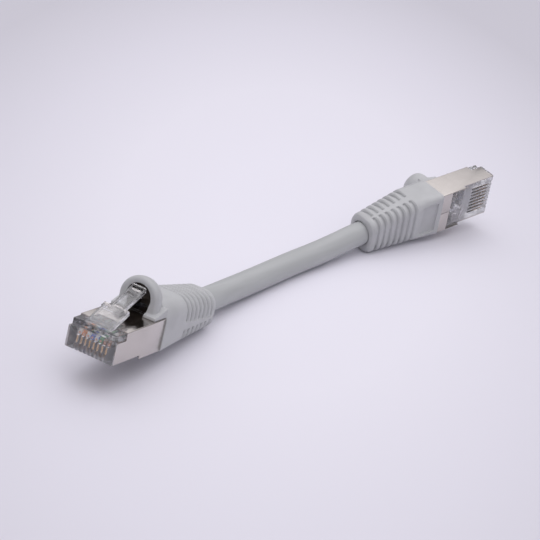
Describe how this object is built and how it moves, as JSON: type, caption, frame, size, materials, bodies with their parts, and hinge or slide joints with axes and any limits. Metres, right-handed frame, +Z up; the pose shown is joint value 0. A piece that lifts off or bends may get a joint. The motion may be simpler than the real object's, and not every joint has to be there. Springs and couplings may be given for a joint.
{
  "type": "ethernet patch cable",
  "caption": "Short shielded network patch cable with a clear latching modular plug and a ribbed moulded boot at each end.",
  "frame": {"origin": "centre of the footprint, on the surface that the cable lies on", "axes": "+X from plug A to plug B, +Z up"},
  "size_m": [0.1502, 0.023, 0.0198],
  "materials": {
    "boot_plastic": "satin moulded",
    "clear_plastic": "clear moulded",
    "shield_metal": "nickel plated",
    "contact_gold": "gold plated",
    "jacket_plastic": "satin extruded",
    "braid": "tinned braid",
    "core_copper": "bright",
    "drain_tin": "tinned",
    "insulation_white_orange": "insulation",
    "insulation_orange": "insulation",
    "insulation_white_green": "insulation",
    "insulation_blue": "insulation",
    "insulation_white_blue": "insulation",
    "insulation_green": "insulation",
    "insulation_white_brown": "insulation",
    "insulation_brown": "insulation"
  },
  "bodies": {
    "cable": {"cable_braid": "braid", "cable_jacket": "jacket_plastic", "core_1": "core_copper", "core_2": "core_copper", "core_3": "core_copper", "core_4": "core_copper", "core_5": "core_copper", "core_6": "core_copper", "core_7": "core_copper", "core_8": "core_copper", "drain_wire": "drain_tin", "plug_a_boot": "boot_plastic", "plug_a_contact_1": "contact_gold", "plug_a_contact_2": "contact_gold", "plug_a_contact_3": "contact_gold", "plug_a_contact_4": "contact_gold", "plug_a_contact_5": "contact_gold", "plug_a_contact_6": "contact_gold", "plug_a_contact_7": "contact_gold", "plug_a_contact_8": "contact_gold", "plug_a_housing": "clear_plastic", "plug_a_shield": "shield_metal", "plug_a_wire_guide": "clear_plastic", "plug_b_boot": "boot_plastic", "plug_b_contact_1": "contact_gold", "plug_b_contact_2": "contact_gold", "plug_b_contact_3": "contact_gold", "plug_b_contact_4": "contact_gold", "plug_b_contact_5": "contact_gold", "plug_b_contact_6": "contact_gold", "plug_b_contact_7": "contact_gold", "plug_b_contact_8": "contact_gold", "plug_b_housing": "clear_plastic", "plug_b_shield": "shield_metal", "plug_b_wire_guide": "clear_plastic", "wire_1_white_orange": "insulation_white_orange", "wire_2_orange": "insulation_orange", "wire_3_white_green": "insulation_white_green", "wire_4_blue": "insulation_blue", "wire_5_white_blue": "insulation_white_blue", "wire_6_green": "insulation_green", "wire_7_white_brown": "insulation_white_brown", "wire_8_brown": "insulation_brown"},
    "latch_a": {"plug_a_latch": "clear_plastic"},
    "latch_b": {"plug_b_latch": "clear_plastic"}
  },
  "joints": [
    {"name": "latch_a_press", "type": "hinge", "parent": "cable", "child": "latch_a", "pos_m": [-0.07129, -0.00526, 0.01382], "axis": [-0.1668, 0.986, 0], "range_deg": [0, 13], "stiffness_Nm_per_rad": 0.02},
    {"name": "latch_b_press", "type": "hinge", "parent": "cable", "child": "latch_b", "pos_m": [0.07243, 0.00105, 0.01116], "axis": [-0.1672, -0.1025, 0.9806], "range_deg": [0, 13], "stiffness_Nm_per_rad": 0.02}
  ]
}
